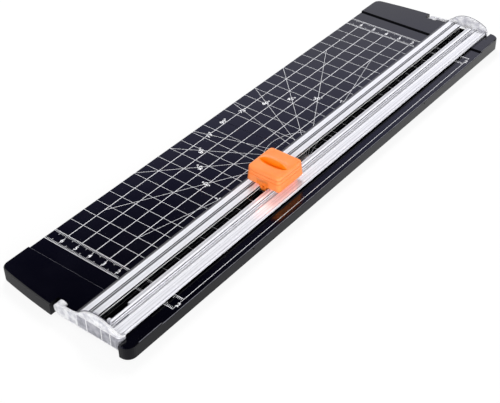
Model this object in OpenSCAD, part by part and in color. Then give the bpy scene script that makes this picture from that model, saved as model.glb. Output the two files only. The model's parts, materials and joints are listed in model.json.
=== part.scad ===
// Sliding paper trimmer. A low black base carries a printed measuring deck. A
// clear rail hinges along its left side and clamps the paper, and a sprung
// press-down cutter runs on two ridges beside the slot in the rail.
// X runs across the base, Y along the rail and away from the user, Z up.
// The origin is at table height under the middle of the base.

/* [Base] */
// Length over the crowns of the bowed ends
base_l = 359; // [260:1:520]
// Width
base_w = 93; // [88:1:160]
// Height of the measuring deck above the table
deck_h = 7.6; // [7.2:0.1:12]
// Length of each raised end block
block_l = 24.25; // [22:0.25:45]
// Height of the end blocks above the deck
block_rise = 1; // [0.6:0.1:1.6]
// Distance of the cut line from the right edge
cut_edge = 23; // [20:0.5:32]
// Thickness of the deck plate
deck_t = 2.2; // [1.8:0.1:3]
// Thickness of the outer wall
wall_t = 2; // [1.4:0.1:3]
// Radius of the bowed ends
bow_r = 420; // [320:10:900]
// Radius of the corners
corner_r = 5; // [3:0.5:9]
// Bevel along the upper edges
edge_bevel = 0.5; // [0.2:0.1:0.9]

/* [Underside] */
// Thickness of the ribs
rib_t = 1.6; // [1:0.1:3]
// Spacing of the cross ribs
rib_pitch = 29; // [20:1:80]
// Width of the spine under the cut line
spine_w = 8; // [6:0.5:14]
// Diameter of the rubber feet
foot_d = 10; // [6:0.5:14]
// Height of the feet below the wall
foot_h = 1; // [0.6:0.1:2.5]
// Depth of the seats that hold the feet
foot_sink = 0.6; // [0.3:0.1:1.5]

/* [Cutting mat] */
// Width of the strip under the blade
mat_w = 2.6; // [2:0.1:5]
// Thickness of the strip
mat_t = 1.5; // [0.9:0.1:1.6]
// Width of the blade groove
groove_w = 0.9; // [0.8:0.05:1.4]
// Depth of the blade groove
groove_d = 0.7; // [0.5:0.05:0.8]

/* [Rail] */
// Width of the clear flange
rail_w = 29.2; // [24:0.2:30]
// Thickness of the flange
rail_t = 1.3; // [1:0.1:2]
// Width of the slot
slot_w = 5.3; // [4.6:0.1:6]
// Height of the running ridges above the flange
ridge_rise = 1.9; // [1.8:0.05:3.2]
// Width of one ridge
ridge_w = 3.5; // [2.6:0.1:4]
// Thickness of the lip along the outside of each ridge
lip_t = 0.65; // [0.5:0.05:0.9]
// Overhang of the lip
lip_d = 0.3; // [0.2:0.05:0.6]
// Depth of the undercut on both sides of the slot
undercut_d = 1; // [0.8:0.05:1.2]
// Height of the undercut
undercut_h = 1.2; // [1.1:0.05:1.4]
// Length of the wider stretch of the slot where the slider is put in
entry_l = 13; // [12.8:0.2:20]

/* [End caps] */
// Depth of the cap roof along the rail
roof_d = 4.5; // [3.5:0.1:6]
// Thickness of the end plate
plate_t = 1.2; // [0.8:0.1:1.8]
// Thickness of the domed roof and the skirt
shell_t = 1.3; // [0.9:0.1:1.8]
// Height of the crown above the rail flange
crown_rise = 6.6; // [6:0.1:8]
// Radius of the dome on the hinge side
dome_left_r = 16.5; // [14:0.5:18]
// Radius of the dome on the free side
dome_right_r = 24.5; // [22:0.5:30]
// Radius of the hollow curve that runs out into the lug
sweep_r = 10; // [8:0.5:12]
// Radius of the hinge lug
lug_r = 3.4; // [2.6:0.1:3.6]

/* [Hinge] */
// Distance from the cut line to the hinge axis
hinge_x = 25.6; // [24:0.1:30]
// Drop from the deck to the hinge axis
hinge_drop = 2; // [1.6:0.1:2.4]
// Diameter of the hinge pins
pin_d = 2; // [1.2:0.1:2.6]
// Length of a pin inside the base
pin_seat = 7; // [4:0.5:10]

/* [Cutter] */
// Length and width of the cutter head at its foot
head_w = 23; // [20:0.2:28]
// Height of the head's shell
head_h = 9.4; // [8.8:0.1:12]
// Corner radius of the head
head_r = 2.6; // [2.2:0.1:4]
// How far the sides of the head lean in over its height
head_draft = 0.6; // [0.2:0.1:0.9]
// Wall of the head's shell at its foot
head_wall = 1.5; // [1.4:0.1:1.8]
// Thickness of the roof of the head
roof_t = 2.2; // [2:0.1:3]
// Height of the thumb fin above the roof
fin_rise = 2.8; // [2:0.1:5]
// Half length of the thumb fin
fin_half = 7.8; // [6:0.1:9]
// Thickness of the thumb fin
fin_t = 2; // [1.4:0.1:3]
// Depth of the thumb dish in front of the fin
dish_d = 1.3; // [0.6:0.1:1.5]
// How far the head is pressed down to cut
press_travel = 1.3; // [1:0.1:1.5]
// Place of the head along the rail
cutter_y = -35.8; // [-60:0.1:60]

/* [Blade] */
// Thickness of the blade
blade_t = 0.4; // [0.3:0.05:0.6]
// Length of the blade
blade_l = 14; // [10:0.5:14.5]
// Height of the blade
blade_h = 6; // [5:0.1:6.5]
// Diameter of the pin that holds the blade
blade_pin_d = 1.4; // [1:0.1:2]
// Width of the round nose that the holder runs in the slot
nose_w = 4.5; // [3.6:0.1:4.5]
// Diameter of the hole in the nose
nose_hole_d = 1.8; // [1:0.1:2.4]

/* [Springs] */
// Mean diameter of the two return springs
coil_d = 3.3; // [2.6:0.1:3.4]
// Diameter of the spring wire
wire_d = 0.5; // [0.3:0.05:0.6]
// Number of turns
coil_turns = 5; // [3:1:6]

/* [Clearances] */
// Gap between a sliding piece and what it runs on
slide_gap = 0.1; // [0.06:0.01:0.14]
// Radial gap round a pin that turns
pin_gap = 0.05; // [0.02:0.01:0.1]
// Gap between pieces that are pressed or clipped together
fit_gap = 0.02; // [0.01:0.01:0.05]
// Gap beside the caps and lugs in the notches of the base
notch_gap = 0.3; // [0.2:0.05:0.6]
// Gap under the closed rail at the end blocks
rest_gap = 0.05; // [0.02:0.01:0.1]

/* [Hidden] */
$fn = 48;

// Base
half_l = base_l / 2;
half_w = base_w / 2;
cut_x = half_w - cut_edge;
block_h = deck_h + block_rise;
deck_under = deck_h - deck_t;
cut_half = half_l - block_l;
bow_x = cut_x - 3;
bow_y = half_l - bow_r;
corner_x = half_w - corner_r;
hinge_at_x = cut_x - hinge_x;
hinge_z = deck_h - hinge_drop;
pin_r = pin_d / 2;

// Levels of the rail and its length
rail_under = block_h + rest_gap;
rail_top = rail_under + rail_t;
ridge_top = rail_top + ridge_rise;
ridge_out = slot_w / 2 + ridge_w;
notch_depth = 5;
notch_y = half_l - notch_depth;
cap_face = half_l - 2.7;
rail_half = cap_face - plate_t;
slot_half = rail_half - 4.1;
entry_w = undercut_d + 0.8;
roof_y = cap_face - roof_d;
skirt_y = notch_y + notch_gap;

// Notches for the end caps, with a deeper pocket for the lug
cap_right = rail_w / 2 + 1.6;
notch_left_x = hinge_at_x - lug_r - 0.8;
notch_right_x = cut_x + cap_right + 0.4;
lug_in = half_l - 6.7;
pocket_y = lug_in - notch_gap;
lug_pocket_x = hinge_at_x + lug_r + notch_gap;
hinge_block_w = 2 * lug_r + 3;
pin_from = pocket_y - pin_seat;
pin_to = cap_face - plate_t;

// Mat and channel
mat_half = slot_half + 0.5;
channel_side = 0.05;

// Feet
foot_r = foot_d / 2;
foot_x = half_w - foot_r - 4;
foot_y = half_l - 26;
foot_top = foot_h + foot_sink;

// Head
head_half = head_w / 2;
head_under = ridge_top + slide_gap + press_travel;
head_top = head_under + head_h;
roof_under = head_top - roof_t;
cavity_half = head_half - head_wall;
fin_r = (fin_half * fin_half + fin_rise * fin_rise) / (2 * fin_rise);
dish_front = 4.1;
dish_plan_r = 11.2;
head_bevel = 1.2;

// Slider
sled_under = ridge_top + slide_gap;
sled_t = 1.2;
sled_top = sled_under + sled_t;
sled_half = cavity_half - 2 * slide_gap;
sled_wall = 1.2;
sled_rim = roof_under - press_travel - 0.5;
keel_half = slot_w / 2 - 2 * slide_gap;
keel_under = rail_under + 0.15;
tee_half = keel_half + undercut_d;
tee_top = rail_under + undercut_h - slide_gap;
tee_l = 6;
barb_z = sled_top + 2.3;
barb_h = 0.8;
barb_d = 0.5;
barb_half = 2.4;

// Blade and holder
leg_t = 1.8;
slit_half = leg_t / 2 + 2 * slide_gap;
leg_half = blade_l / 2 + 0.5;
slit_l = leg_half + 0.3;
bar_half = 3.9;
bar_under = sled_top + press_travel + slide_gap;
bar_top = bar_under + 1.3;
tongue_in = sled_half + 0.35;
tongue_out = head_half - 0.35;
nose_r = nose_w / 2;
nose_z = head_under - 0.5;
blade_tip = rail_under + 0.05;
blade_top = blade_tip + blade_h;
blade_pin_z = bar_under - 2.2;
blade_pin_r = blade_pin_d / 2;
holder_leg_under = blade_tip + 1.8;
edge_run = 0.9;

// Springs
spring_x = (bar_half + sled_half - sled_wall) / 2;
spigot_r = (coil_d - wire_d) / 2 - 0.25;
spigot_h = 1.2;

function corner_y() = sqrt(pow(bow_r - corner_r, 2) - pow(corner_x - bow_x, 2)) + bow_y;
function left_corner_y() = sqrt(pow(bow_r - corner_r, 2) - pow(-corner_x - bow_x, 2)) + bow_y;
function bow_angle(x, y) = atan2(y - bow_y, x - bow_x);
function arc(x, y, r, from, to, steps) =
    [for (i = [0:steps]) let (a = from + (to - from) * i / steps) [x + r * cos(a), y + r * sin(a)]];

// Far half of the plan, from the right side round to the left side
function far_plan(inset) =
    let (right_a = bow_angle(corner_x, corner_y()), left_a = bow_angle(-corner_x, left_corner_y()))
    concat(arc(corner_x, corner_y(), corner_r - inset, 0, right_a, 7),
           [for (i = [1:15]) let (a = right_a + (left_a - right_a) * i / 16)
               [bow_x + (bow_r - inset) * cos(a), bow_y + (bow_r - inset) * sin(a)]],
           arc(-corner_x, left_corner_y(), corner_r - inset, left_a, 180, 7));

function flip(points) = [for (i = [len(points) - 1:-1:0]) [points[i][0], -points[i][1]]];

module plan(inset) {
    polygon(concat(far_plan(inset), flip(far_plan(inset))));
}

// Stretch along Y of a section drawn in X and Z
module along(from, to) {
    translate([0, to, 0])
        rotate([90, 0, 0])
            linear_extrude(to - from) children();
}

// The same shape at the near end and at the far end
module both_ends() {
    children();
    mirror([0, 1, 0]) children();
}

module both_sides() {
    children();
    mirror([1, 0, 0]) children();
}

module base_body() {
    translate([0, 0, foot_h])
        linear_extrude(block_h - edge_bevel - foot_h) plan(0);
    hull() {
        translate([0, 0, block_h - edge_bevel]) linear_extrude(0.01) plan(0);
        translate([0, 0, block_h - 0.01]) linear_extrude(0.01) plan(edge_bevel);
    }
}

// The deck lies lower than the end blocks, and its long edges are beveled
module deck_recess() {
    translate([-half_w - 1, -cut_half, deck_h]) cube([base_w + 2, 2 * cut_half, block_rise + 1]);
    both_sides()
        along(-cut_half, cut_half)
            polygon([[half_w - edge_bevel, deck_h], [half_w + 1, deck_h + 1],
                     [half_w + 1, deck_h - edge_bevel - 1], [half_w, deck_h - edge_bevel]]);
}

module foot_pads() {
    for (x = [-foot_x, foot_x], y = [-foot_y, 0, foot_y])
        translate([x, y]) circle(foot_r + 1.6);
}

module ribs() {
    cross_count = floor((half_l - 30) / rib_pitch);
    for (i = [-cross_count:cross_count])
        translate([-half_w, i * rib_pitch - rib_t / 2]) square([base_w, rib_t]);
    for (x = [-half_w * 0.63, -half_w * 0.18])
        translate([x - rib_t / 2, -half_l]) square([rib_t, base_l]);
    translate([cut_x - spine_w / 2, -half_l]) square([spine_w, base_l]);
}

module end_lands() {
    both_ends() {
        translate([notch_left_x - wall_t, pocket_y - wall_t - 3])
            square([notch_right_x - notch_left_x + 2 * wall_t, half_l]);
        translate([hinge_at_x - hinge_block_w / 2, pin_from - wall_t])
            square([hinge_block_w, half_l]);
    }
}

module underside() {
    translate([0, 0, -1])
        linear_extrude(deck_under + 1)
            difference() {
                plan(wall_t);
                ribs();
                foot_pads();
                end_lands();
            }
}

module notches() {
    both_ends() {
        translate([notch_left_x, notch_y, 0])
            cube([notch_right_x - notch_left_x, half_l, block_h + 1]);
        translate([notch_left_x, pocket_y, 0])
            cube([lug_pocket_x - notch_left_x, half_l, block_h + 1]);
    }
}

module mat_channel() {
    translate([cut_x - mat_w / 2 - channel_side, -mat_half - channel_side, deck_h - mat_t])
        cube([mat_w + 2 * channel_side, 2 * (mat_half + channel_side), mat_t + block_rise + 1]);
}

module hinge_bores() {
    both_ends()
        translate([hinge_at_x, pocket_y + 1, hinge_z])
            rotate([90, 0, 0]) cylinder(h = pin_seat + 1, r = pin_r + fit_gap);
}

module foot_seats() {
    for (x = [-foot_x, foot_x], y = [-foot_y, 0, foot_y])
        translate([x, y, foot_h - 1]) cylinder(h = foot_sink + 1, r = foot_r + 0.1);
}

// Two small moulding dimples in the right wall, under the edge of the deck
module wall_dimples() {
    for (y = [-half_l * 0.47, half_l * 0.47])
        translate([half_w - 0.8, y, deck_h - 1.45])
            rotate([0, 90, 0]) cylinder(h = 2, r = 0.55);
}

module base() {
    color("#26262b")
        difference() {
            base_body();
            deck_recess();
            underside();
            notches();
            mat_channel();
            hinge_bores();
            foot_seats();
            wall_dimples();
        }
}

module cutting_mat() {
    color("#6f7075")
        translate([cut_x, 0, 0])
            difference() {
                translate([-mat_w / 2, -mat_half, deck_h - mat_t])
                    cube([mat_w, 2 * mat_half, mat_t]);
                translate([-groove_w / 2, -mat_half - 1, deck_h - groove_d])
                    cube([groove_w, 2 * mat_half + 2, groove_d + 1]);
            }
}

module foot(x, y) {
    color("#3a3a3a")
        translate([x, y, 0]) {
            cylinder(h = 0.3, r1 = foot_r - 0.3, r2 = foot_r);
            translate([0, 0, 0.3]) cylinder(h = foot_top - 0.3, r = foot_r);
        }
}

// Steel pin, pressed into the base and free in the lug of an end cap
module near_hinge_pin() {
    color("#b9bcc0")
        translate([hinge_at_x, -pin_from, hinge_z])
            rotate([90, 0, 0]) cylinder(h = pin_to - pin_from - 0.2, r = pin_r);
}

module far_hinge_pin() {
    mirror([0, 1, 0]) near_hinge_pin();
}

// Right half of the flange: a thin plate with a beveled edge and two fine
// guide grooves
module flange_section() {
    edge = rail_w / 2;
    polygon([[0, rail_under], [edge, rail_under], [edge, rail_top - 0.5], [edge - 0.5, rail_top],
             [edge - 1, rail_top], [edge - 1.15, rail_top - 0.2], [edge - 1.3, rail_top],
             [ridge_out + 2.3, rail_top], [ridge_out + 2.1, rail_top - 0.3],
             [ridge_out + 1.7, rail_top - 0.3], [ridge_out + 1.5, rail_top], [0, rail_top]]);
}

// One ridge beside the slot, with a fine lip along its outside
module ridge_section() {
    polygon([[slot_w / 2, rail_top - 0.1], [slot_w / 2, ridge_top - 0.3],
             [slot_w / 2 + 0.3, ridge_top], [ridge_out - 0.3, ridge_top],
             [ridge_out, ridge_top - 0.3], [ridge_out, ridge_top - lip_t],
             [ridge_out - lip_d, ridge_top - lip_t], [ridge_out - lip_d, rail_top - 0.1]]);
}

module rail() {
    color("#dfe3e8", 0.55)
        translate([cut_x, 0, 0])
            difference() {
                both_sides() {
                    along(-rail_half, rail_half) flange_section();
                    along(-slot_half, slot_half) ridge_section();
                }
                translate([-slot_w / 2, -slot_half, rail_under - 1])
                    cube([slot_w, 2 * slot_half, rail_t + ridge_rise + 3]);
                translate([-slot_w / 2 - undercut_d, -slot_half, rail_under - 1])
                    cube([slot_w + 2 * undercut_d, 2 * slot_half, undercut_h + 1]);
                translate([0, -slot_half + 1.5, rail_under - 1])
                    cube([slot_w / 2 + entry_w, entry_l, rail_t + ridge_rise + 3]);
                both_ends()
                    both_sides()
                        translate([peg_x, peg_y, rail_under - 1])
                            cylinder(h = rail_t + 2, r = peg_r + fit_gap);
            }
}

// Pegs that fix a cap to the rail
peg_x = rail_w / 2 - 5;
peg_y = rail_half - 1.9;
peg_r = 0.8;

// Outline of an end cap in X and Z, drawn from the cut line. The dome has a
// tighter radius on the hinge side, and sweeps out into the lug.
crown_z = rail_top + crown_rise;
cap_under = foot_h + 1.1;
lug_x = -hinge_x;
lug_top = hinge_z + lug_r;
dome_x = 0.5;
dome_left_z = crown_z - dome_left_r;
dome_right_z = crown_z - dome_right_r;
sweep_z = lug_top + 0.5 + sweep_r;
sweep_reach = sqrt(pow(dome_left_r + sweep_r, 2) - pow(sweep_z - dome_left_z, 2));
sweep_x = dome_x - sweep_reach;
sweep_share = dome_left_r / (dome_left_r + sweep_r);
turn_x = dome_x - sweep_reach * sweep_share;
turn_z = dome_left_z + (sweep_z - dome_left_z) * sweep_share;

module cap_outline(inset) {
    low = cap_under + inset;
    difference() {
        union() {
            intersection() {
                translate([dome_x, dome_right_z]) circle(dome_right_r - inset, $fn = 180);
                translate([dome_x, low]) square([cap_right - dome_x - inset, crown_z]);
            }
            intersection() {
                translate([dome_x, dome_left_z]) circle(dome_left_r - inset, $fn = 180);
                translate([turn_x, low]) square([dome_x - turn_x + 0.01, crown_z]);
            }
            polygon([[lug_x, low], [dome_x, low], [dome_x, lug_top], [turn_x, turn_z],
                     [sweep_x, turn_z], [sweep_x, sweep_z - sweep_r - inset],
                     [lug_x, lug_top - inset]]);
            translate([lug_x, hinge_z]) circle(lug_r - inset);
        }
        translate([sweep_x, sweep_z]) circle(sweep_r + inset, $fn = 120);
    }
}

// Rounded free corner of a cap, seen from above
module cap_plan() {
    far_x = cap_right;
    round_r = 2.6;
    polygon(concat([[lug_x - lug_r, lug_in], [far_x, lug_in]],
                   arc(far_x - round_r, cap_face - round_r, round_r, 0, 90, 6),
                   arc(lug_x - lug_r + 1, cap_face - 1, 1, 90, 180, 3)));
}

module above(z) {
    translate([-60, -10]) square([120, z + 10]);
}

module far_end_cap() {
    color("#e6e9ee", 0.5)
        translate([cut_x, 0, 0])
            difference() {
                intersection() {
                    union() {
                        along(skirt_y, cap_face) cap_outline(0);
                        along(roof_y, cap_face)
                            difference() {
                                cap_outline(0);
                                above(rail_top + slide_gap);
                                translate([-60, 0]) square([60 + sweep_x, 60]);
                            }
                        along(lug_in, cap_face) translate([lug_x, hinge_z]) circle(lug_r);
                    }
                    linear_extrude(crown_z + 5) cap_plan();
                }
                cap_hollow();
                along(roof_y - 1, rail_half)
                    translate([-rail_w / 2 - slide_gap, rail_under - fit_gap])
                        square([rail_w + 2 * slide_gap, rail_t + fit_gap + slide_gap]);
                along(lug_in - 1, pin_to) translate([lug_x, hinge_z]) circle(pin_r + pin_gap);
            }
    color("#e6e9ee", 0.5)
        translate([cut_x, 0, 0])
            both_sides()
                translate([peg_x, peg_y, rail_under + 0.1])
                    cylinder(h = 3.4, r = peg_r);
}

// Space inside the dome and the skirt, with upright ribs left standing
module cap_hollow() {
    difference() {
        along(roof_y - 1, rail_half)
            difference() {
                cap_outline(shell_t);
                translate([-60, 0]) square([60 + sweep_x + 3, 60]);
            }
        for (x = [-8.5, -0.4, 8])
            translate([x - 0.4, roof_y + 1.6, 0]) cube([0.8, 10, crown_z]);
        translate([-rail_w / 2 - 1, roof_y - 2, rail_under - 1.2]) cube([rail_w + 2, 10, 1.2]);
        both_sides()
            translate([peg_x - 1.3, peg_y - 1.3, rail_top + 1]) cube([2.6, 6, crown_z]);
    }
}

module near_end_cap() {
    mirror([0, 1, 0]) far_end_cap();
}

// Moves a piece of the cutter to its place on the rail
module at_cutter() {
    translate([cut_x, cutter_y, 0]) children();
}

module box(half_x, half_y, from, to) {
    translate([-half_x, -half_y, from]) cube([2 * half_x, 2 * half_y, to - from]);
}

// Sled that runs on the ridges. Its keel guides the blade in the slot, the
// keel's flanges run in the undercut and its rim carries the head.
module cutter_slider() {
    color("#f47a1f")
        at_cutter() {
            difference() {
                union() {
                    box(sled_half, sled_half, sled_under, sled_top);
                    box(keel_half, sled_half, keel_under, sled_top);
                    box(tee_half, tee_l, keel_under, tee_top);
                    sled_rim();
                }
                box(slit_half, slit_l, keel_under - 1, sled_rim + 1);
                box(bar_half + 2 * slide_gap, sled_half + 1, sled_top, sled_rim + 1);
            }
            both_sides() {
                along(-barb_half, barb_half)
                    polygon([[sled_half - 0.1, barb_z], [sled_half + barb_d, barb_z],
                             [sled_half, barb_z + barb_h], [sled_half - 0.1, barb_z + barb_h]]);
                translate([spring_x, 0, sled_top]) cylinder(h = spigot_h, r = spigot_r);
            }
        }
}

module sled_rim() {
    difference() {
        box(sled_half, sled_half, sled_under, sled_rim);
        box(sled_half - sled_wall, sled_half - sled_wall, sled_top, sled_rim + 1);
    }
}

// Rounded block with sides that lean in and soft upper edges
module head_body() {
    corner = head_half - head_r;
    hull()
        for (x = [-1, 1], y = [-1, 1]) {
            translate([x * corner, y * corner, head_under])
                cylinder(h = 1, r = head_r, $fn = 32);
            translate([x * (corner - head_draft), y * (corner - head_draft), 0])
                translate([0, 0, head_top - head_bevel])
                    rotate_extrude($fn = 32)
                        polygon(concat([[0, 0]],
                                       arc(head_r - head_bevel, 0, head_bevel, 0, 90, 4),
                                       [[0, head_bevel]]));
        }
}

// Shallow spherical dish for the thumb. The sphere meets the roof in a circle
// of the plan radius, and is dish_d deep at the foot of the fin.
module thumb_dish() {
    foot_run = dish_plan_r - dish_front + fin_t / 2;
    rise = (dish_plan_r * dish_plan_r - foot_run * foot_run - dish_d * dish_d) / (2 * dish_d);
    dish_r = sqrt(dish_plan_r * dish_plan_r + rise * rise);
    intersection() {
        translate([0, dish_plan_r - dish_front, head_top + rise]) sphere(dish_r, $fn = 160);
        translate([-head_half, -dish_front - 1, head_top - 3])
            cube([head_w, dish_front + 1 - fin_t / 2, 4]);
    }
}

// Thumb fin across the head, with a round upper edge
module thumb_fin() {
    along(-fin_t / 2, fin_t / 2)
        intersection() {
            translate([0, head_top + fin_rise - fin_r]) circle(fin_r, $fn = 120);
            translate([-fin_half, head_top - 0.5]) square([2 * fin_half, fin_rise + 1]);
        }
}

// Press-down shell. Windows at both ends show the tongues of the blade holder,
// and a recess in each side wall takes a barb of the slider.
module cutter_head() {
    color("#ff9650")
        at_cutter() {
            difference() {
                head_body();
                box(cavity_half, cavity_half, head_under - 1, roof_under);
                box(bar_half + fit_gap, head_half + 1, head_under - 1, bar_top + fit_gap);
                for (x = [-cavity_half - 0.7, cavity_half - 0.1])
                    translate([x, -barb_half - 0.3, barb_z - 0.1])
                        cube([0.8, 2 * barb_half + 0.6, barb_h + press_travel + 0.3]);
                thumb_dish();
                for (y = [-head_half, head_half])
                    translate([-head_half + 2.4, y - 0.8, head_top - 3.6])
                        cube([head_w - 4.8, 1.6, 0.35]);
            }
            thumb_fin();
            both_sides() {
                translate([spring_x, 0, roof_under - spigot_h])
                    cylinder(h = spigot_h, r = spigot_r);
                both_ends()
                    translate([bar_half + fit_gap, 2.6, bar_top - 1])
                        cube([0.9, 4.4, roof_under - bar_top + 1]);
            }
        }
}

// Cartridge clipped into the head. Its leg reaches down through the slider and
// holds the blade in a saw cut.
module blade_holder() {
    color("#f0701a")
        at_cutter()
            difference() {
                union() {
                    box(bar_half, tongue_out, bar_under, bar_top);
                    box(bar_half - 0.4, 7, bar_top, roof_under - fit_gap);
                    box(leg_t / 2, leg_half, holder_leg_under, bar_top);
                    both_ends()
                        along(tongue_in, tongue_out) tongue_outline();
                }
                box(blade_t / 2 + fit_gap, blade_l / 2 + fit_gap, 0, blade_top + fit_gap);
                translate([-leg_t, 0, blade_pin_z])
                    rotate([0, 90, 0]) cylinder(h = 2 * leg_t, r = blade_pin_r + fit_gap);
                both_ends()
                    along(tongue_in - 0.1, tongue_out + 0.1)
                        translate([0, nose_z]) circle(nose_hole_d / 2);
            }
}

// Face of the holder in the head's window, with a round nose in the slot
module tongue_outline() {
    translate([-bar_half, head_under]) square([2 * bar_half, bar_top - head_under]);
    translate([-nose_r, nose_z]) square([nose_w, head_under - nose_z + 0.1]);
    translate([0, nose_z]) circle(nose_r);
}

// Trapezoid blade that cuts both ways, ground on one side of each edge
module blade() {
    shoulder = blade_tip + 3.2;
    slope = atan2(shoulder - blade_tip, blade_l / 2 - 0.9);
    color("#c9ccd1")
        at_cutter()
            difference() {
                translate([-blade_t / 2, 0, 0])
                    rotate([90, 0, 90])
                        linear_extrude(blade_t)
                            polygon([[-blade_l / 2, blade_top], [-blade_l / 2, shoulder],
                                     [-0.9, blade_tip], [0.9, blade_tip],
                                     [blade_l / 2, shoulder], [blade_l / 2, blade_top]]);
                translate([-leg_t, 0, blade_pin_z])
                    rotate([0, 90, 0]) cylinder(h = 2 * leg_t, r = blade_pin_r + fit_gap);
                both_ends()
                    translate([blade_t / 2, 0.9, blade_tip])
                        rotate([slope, 0, 0])
                            translate([0, -3, 0])
                                rotate([0, atan2(blade_t * 0.7, edge_run), 0])
                                    translate([0, 0, -3]) cube([2, 20, 3 + edge_run]);
            }
}

module blade_pin() {
    color("#b9bcc0")
        at_cutter()
            translate([-leg_t / 2, 0, blade_pin_z])
                rotate([0, 90, 0]) cylinder(h = leg_t, r = blade_pin_r);
}

// Coil spring between the slider and the roof of the head. A ring of the wire
// is placed at each step of the helix and joined to the next.
module spring() {
    sides = 6;
    steps = 12;
    rings = coil_turns * steps;
    wire_r = wire_d / 2;
    run = roof_under - sled_top - wire_d - 0.04;
    points = [for (i = [0:rings], k = [0:sides - 1])
        let (turn = 360 * i / steps, side = 360 * k / sides,
             r = coil_d / 2 + wire_r * cos(side))
        [r * cos(turn), r * sin(turn),
         sled_top + wire_r + 0.02 + run * i / rings + wire_r * sin(side)]];
    walls = [for (i = [0:rings - 1], k = [0:sides - 1])
        let (a = i * sides + k, b = i * sides + (k + 1) % sides)
        each [[a, a + sides, b], [b, a + sides, b + sides]]];
    near_end = [for (k = [0:sides - 1]) k];
    far_end = [for (k = [sides - 1:-1:0]) rings * sides + k];
    polyhedron(points, concat(walls, [near_end, far_end]), convexity = 6);
}

module left_spring() {
    color("#c9ccd1") at_cutter() translate([-spring_x, 0, 0]) spring();
}

module right_spring() {
    color("#c9ccd1") at_cutter() translate([spring_x, 0, 0]) spring();
}

base();
cutting_mat();
foot(-foot_x, -foot_y);  // near_left_foot
foot(foot_x, -foot_y);  // near_right_foot
foot(-foot_x, 0);  // middle_left_foot
foot(foot_x, 0);  // middle_right_foot
foot(-foot_x, foot_y);  // far_left_foot
foot(foot_x, foot_y);  // far_right_foot
near_hinge_pin();
far_hinge_pin();
rail();
near_end_cap();
far_end_cap();
cutter_slider();
cutter_head();
blade_holder();
blade();
blade_pin();
left_spring();
right_spring();
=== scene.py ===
import json
import math

import bmesh
import bpy
from mathutils import Matrix, Vector

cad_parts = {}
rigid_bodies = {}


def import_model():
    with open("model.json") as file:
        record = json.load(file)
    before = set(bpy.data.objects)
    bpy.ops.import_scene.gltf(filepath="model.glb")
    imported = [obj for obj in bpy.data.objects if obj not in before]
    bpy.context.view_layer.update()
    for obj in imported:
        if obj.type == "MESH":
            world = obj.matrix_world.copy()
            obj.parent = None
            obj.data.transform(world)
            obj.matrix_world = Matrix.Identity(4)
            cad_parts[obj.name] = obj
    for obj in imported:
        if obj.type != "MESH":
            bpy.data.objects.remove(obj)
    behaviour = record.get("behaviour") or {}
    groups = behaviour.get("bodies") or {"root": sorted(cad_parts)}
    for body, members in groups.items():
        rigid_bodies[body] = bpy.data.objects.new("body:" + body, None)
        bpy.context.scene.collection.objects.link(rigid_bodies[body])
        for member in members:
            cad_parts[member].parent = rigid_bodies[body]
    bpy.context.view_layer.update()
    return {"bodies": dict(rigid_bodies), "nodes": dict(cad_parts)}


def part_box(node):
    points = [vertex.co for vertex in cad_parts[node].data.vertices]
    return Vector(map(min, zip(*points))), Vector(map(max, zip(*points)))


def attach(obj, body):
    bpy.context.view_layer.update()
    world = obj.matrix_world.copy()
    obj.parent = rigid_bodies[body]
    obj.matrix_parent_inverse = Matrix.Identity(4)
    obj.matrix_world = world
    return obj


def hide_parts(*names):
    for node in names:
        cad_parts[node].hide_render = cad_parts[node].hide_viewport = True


MM = 0.001

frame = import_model()
nodes = frame["nodes"]

# Deck and rail, from the frame. The cut line runs along the middle of the rail's slot.
RAIL_LOW, RAIL_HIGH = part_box("rail")
CUT_X = (RAIL_LOW.x + RAIL_HIGH.x) / 2
DECK_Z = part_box("cutting_mat")[1].z
RIDGE_RISE = 1.9 * MM
FLANGE_TOP = RAIL_HIGH.z - RIDGE_RISE
GROOVE_HALF = 0.55 * MM

# Bands round the cut line that hold the slot's walls and the right ridge's outer wall
SLOT_BAND = (CUT_X - 2.75 * MM, CUT_X + 2.75 * MM)
RIDGE_BAND = (CUT_X + 6.08 * MM, CUT_X + 6.22 * MM)

# Short grooves at the ends of the rail: from and to along it, in millimetres
END_GROOVES = ((-170.5, -161.5), (156, 170.5))
END_GROOVE_X = 7.45 * MM
END_GROOVE_W = 0.7 * MM
END_GROOVE_T = 0.06 * MM

# Stripes across the rail, set to match the photo's lines: where each begins, in
# millimetres from the cut line, and its shade
# The stripes paint reflections and shade over the rail's real grooves and frosted stretches:
# bright painted sheen on the flat stretches, dark painted shade at the edges, grooves and ridge feet
LEFT_EDGE = ((-14.6, 0.06), (-14.0, 0.1), (-13.1, 0.4))
LEFT_FROSTED_AND_SHEEN = ((-12.7, 0.92), (-11.9, 0.82), (-11.2, 0.88))
LEFT_GROOVE_SHADE = ((-9.75, 0.02), (-9.2, 0.5), (-8.6, 0.2), (-8.1, 0.42))
LEFT_FOOT_SHADE_AND_SHEEN = ((-7.5, 0.84), (-6.9, 0.74), (-6.3, 0.6))
LEFT_RIDGE = ((-5.9, 0.84), (-5.1, 0.76), (-4.2, 0.68), (-3.9, 0.78))
RIGHT_RIDGE = ((2.6, 0.5), (3.0, 0.7), (3.6, 0.42), (3.8, 0.54), (4.3, 0.54), (4.8, 0.94), (5.9, 0.4))
RIGHT_FOOT_SHADE_AND_SHEEN = ((6.05, 0.04), (6.2, 0.5), (6.5, 0.96))
RIGHT_GROOVE_SHADE_AND_SHEEN = ((7.2, 0.36), (7.8, 0.72), (8.1, 0.96), (8.9, 0.76), (9.1, 0.84))
RIGHT_FROSTED_AND_SHEEN = ((10.0, 0.5), (10.2, 0.8), (11.4, 0.5), (11.6, 0.74), (12.4, 0.86))
RIGHT_EDGE = ((13.6, 0.4), (13.85, 0.66), (14.2, 0.84))

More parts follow.
